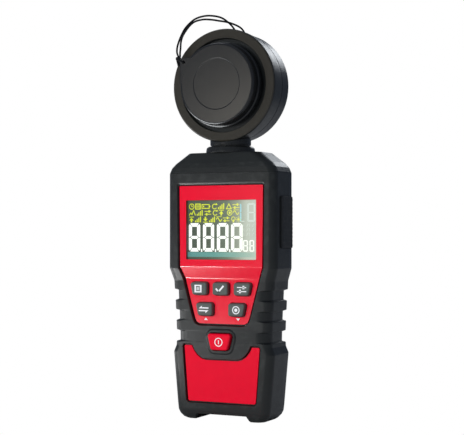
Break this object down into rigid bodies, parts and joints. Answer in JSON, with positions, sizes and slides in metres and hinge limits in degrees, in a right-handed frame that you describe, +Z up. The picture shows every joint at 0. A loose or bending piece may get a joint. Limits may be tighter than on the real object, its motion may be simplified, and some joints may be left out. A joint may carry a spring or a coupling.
{
  "type": "handheld light meter",
  "caption": "Slim handheld digital light meter with a display, a key field, a swivelling round sensor head on a neck, and a tethered sensor cap.",
  "frame": {"origin": "on the supporting surface, on the neck's swivel axis, at the middle of the meter's width and depth", "axes": "+Z up along the meter, -Y out of the display and the sensor, +X to the right of someone who faces the display"},
  "size_m": [0.0614, 0.0315, 0.2013],
  "materials": {
    "shell_plastic": "fine texture",
    "ring_plastic": "satin",
    "neck_plastic": "satin",
    "red_plastic": "satin gloss",
    "key_plastic": "satin",
    "pad_rubber": "matte",
    "cap_plastic": "fine texture",
    "window_plastic": "clear",
    "display_glass": "polished",
    "light_guide": "polished",
    "inner_plastic": "moulded",
    "elastomer": "matte",
    "board_laminate": "solder mask",
    "switch_metal": "stamped",
    "black_steel": "black oxide",
    "contact_plate": "nickel plated",
    "cell_wrap": "printed sleeve, plain",
    "connector_plastic": "moulded",
    "opal_plastic": "opal",
    "detector_can": "plated",
    "lead_sheath": "matte",
    "cord_fabric": "braided"
  },
  "bodies": {
    "body": {"front_shell": "shell_plastic", "rear_shell": "shell_plastic", "shoulder_cover": "shell_plastic", "upper_panel": "red_plastic", "lower_panel": "red_plastic", "left_grip_pad": "pad_rubber", "right_grip_pad": "pad_rubber", "display_window": "window_plastic", "display_glass": "display_glass", "display_backlight": "light_guide", "display_frame": "inner_plastic", "elastomer_strips": "elastomer", "main_board": "board_laminate", "board_parts": "inner_plastic", "key_switches": "switch_metal", "lead_connector": "connector_plastic", "board_screws": "switch_metal", "battery_tray": "inner_plastic", "battery_cells": "cell_wrap", "battery_springs": "switch_metal", "battery_contacts": "contact_plate", "case_screws": "black_steel", "neck_bush": "neck_plastic"},
    "sensor_head": {"head_spindle": "neck_plastic", "spindle_clip": "switch_metal", "wave_washer": "switch_metal", "head_front_ring": "ring_plastic", "head_rear_shell": "shell_plastic", "diffuser_dome": "opal_plastic", "dome_retainer": "neck_plastic", "photodiode": "detector_can", "sensor_board": "board_laminate", "head_screws": "black_steel", "sensor_lead": "lead_sheath", "tether_cord": "cord_fabric"},
    "cap": {"sensor_cap": "cap_plastic", "tether_knot": "cord_fabric"},
    "battery_door": {"battery_door": "shell_plastic"},
    "hold_key": {"hold_key": "key_plastic"},
    "set_key": {"set_key": "key_plastic"},
    "func_key": {"func_key": "key_plastic"},
    "unit_key": {"unit_key": "key_plastic"},
    "record_key": {"record_key": "key_plastic"},
    "power_key": {"power_key": "red_plastic"}
  },
  "joints": [
    {"name": "head_swivel", "type": "hinge", "parent": "body", "child": "sensor_head", "pos_m": [0, 0, 0.133], "axis": [0, 0, 1], "range_deg": [-90, 180]},
    {"name": "cap_pull", "type": "slide", "parent": "sensor_head", "child": "cap", "axis": [0, -1, 0], "range_m": [0, 0.016]},
    {"name": "battery_door_open", "type": "hinge", "parent": "body", "child": "battery_door", "pos_m": [0, 0.0144, 0.0161], "axis": [-1, 0, 0], "range_deg": [0, 75]},
    {"name": "hold_press", "type": "slide", "parent": "body", "child": "hold_key", "axis": [0, 1, 0], "range_m": [0, 0.0008], "stiffness_N_per_m": 300},
    {"name": "set_press", "type": "slide", "parent": "body", "child": "set_key", "axis": [0, 1, 0], "range_m": [0, 0.0008], "stiffness_N_per_m": 300},
    {"name": "func_press", "type": "slide", "parent": "body", "child": "func_key", "axis": [0, 1, 0], "range_m": [0, 0.0008], "stiffness_N_per_m": 300},
    {"name": "unit_press", "type": "slide", "parent": "body", "child": "unit_key", "axis": [0, 1, 0], "range_m": [0, 0.0008], "stiffness_N_per_m": 300},
    {"name": "record_press", "type": "slide", "parent": "body", "child": "record_key", "axis": [0, 1, 0], "range_m": [0, 0.0008], "stiffness_N_per_m": 300},
    {"name": "power_press", "type": "slide", "parent": "body", "child": "power_key", "axis": [0, 1, 0], "range_m": [0, 0.0008], "stiffness_N_per_m": 300}
  ]
}
